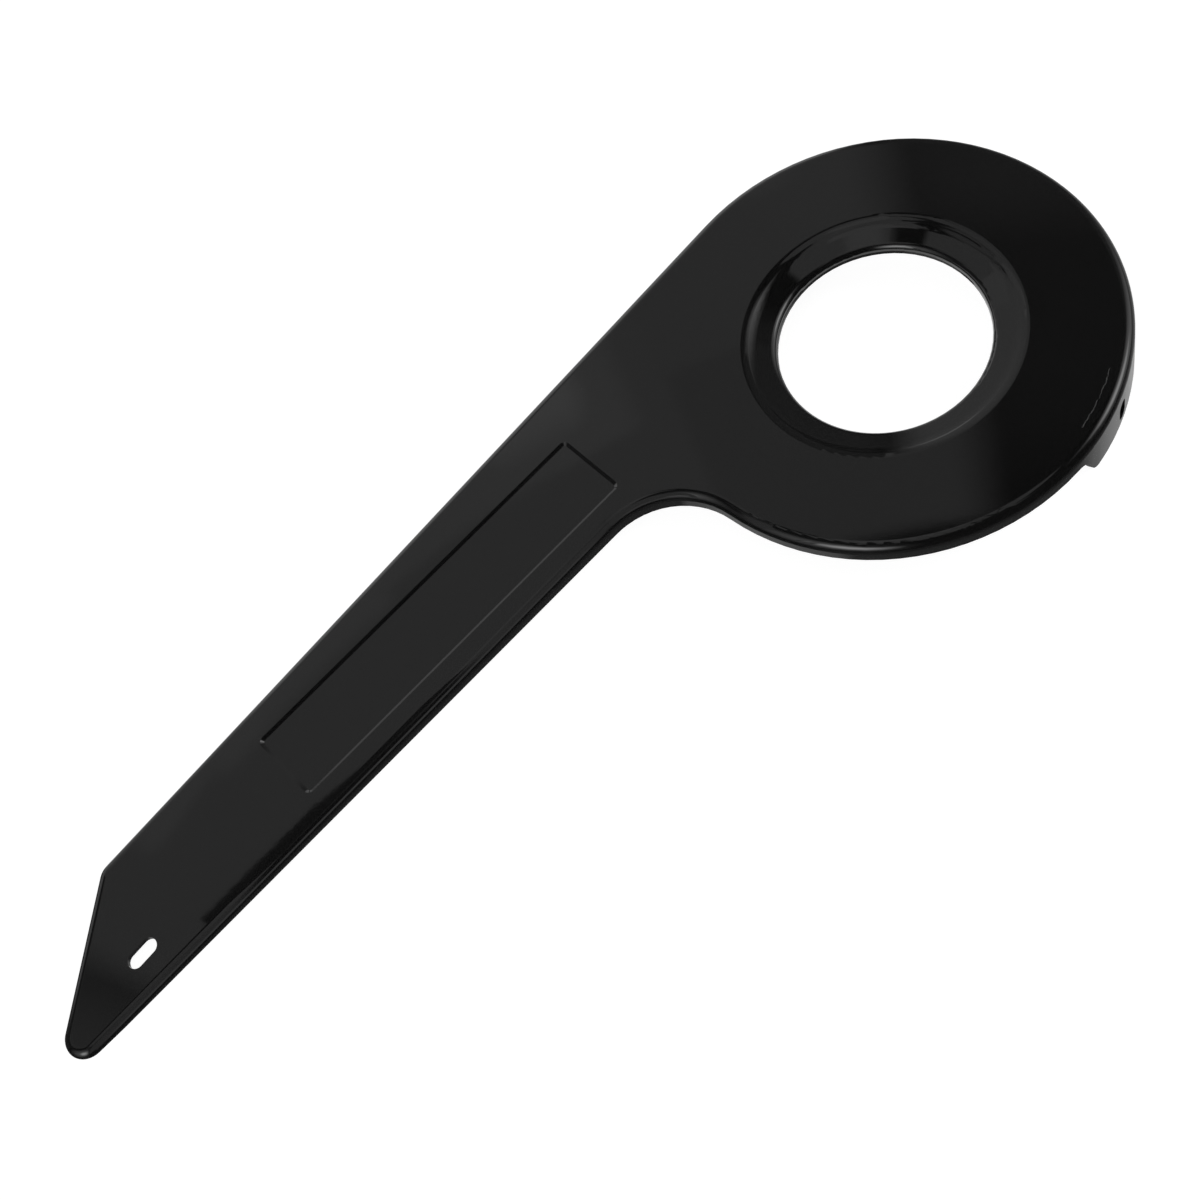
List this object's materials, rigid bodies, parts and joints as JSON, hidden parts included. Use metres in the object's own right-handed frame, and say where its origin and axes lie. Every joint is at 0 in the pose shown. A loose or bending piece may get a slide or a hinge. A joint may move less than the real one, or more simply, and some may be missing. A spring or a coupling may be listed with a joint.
{
  "type": "bicycle chain guard",
  "caption": "One-piece moulded chain guard: a dished disc that covers the chainring, and a long tapering arm along the chain, with a rolled rim, slotted lugs and a slotted tail.",
  "frame": {"origin": "on the crank axis, level with the edge of the skirt round the disc", "axes": "+Z along the crank axis, outwards through the guard's face; +X towards the front of the bicycle, away from the arm; +Y towards the arm's straight upper edge"},
  "size_m": [0.4612, 0.174, 0.0205],
  "materials": {
    "black_plastic": "glossy moulded black plastic, with a bare recessed label panel"
  },
  "bodies": {
    "root": {"chain_guard": "black_plastic"}
  },
  "joints": []
}
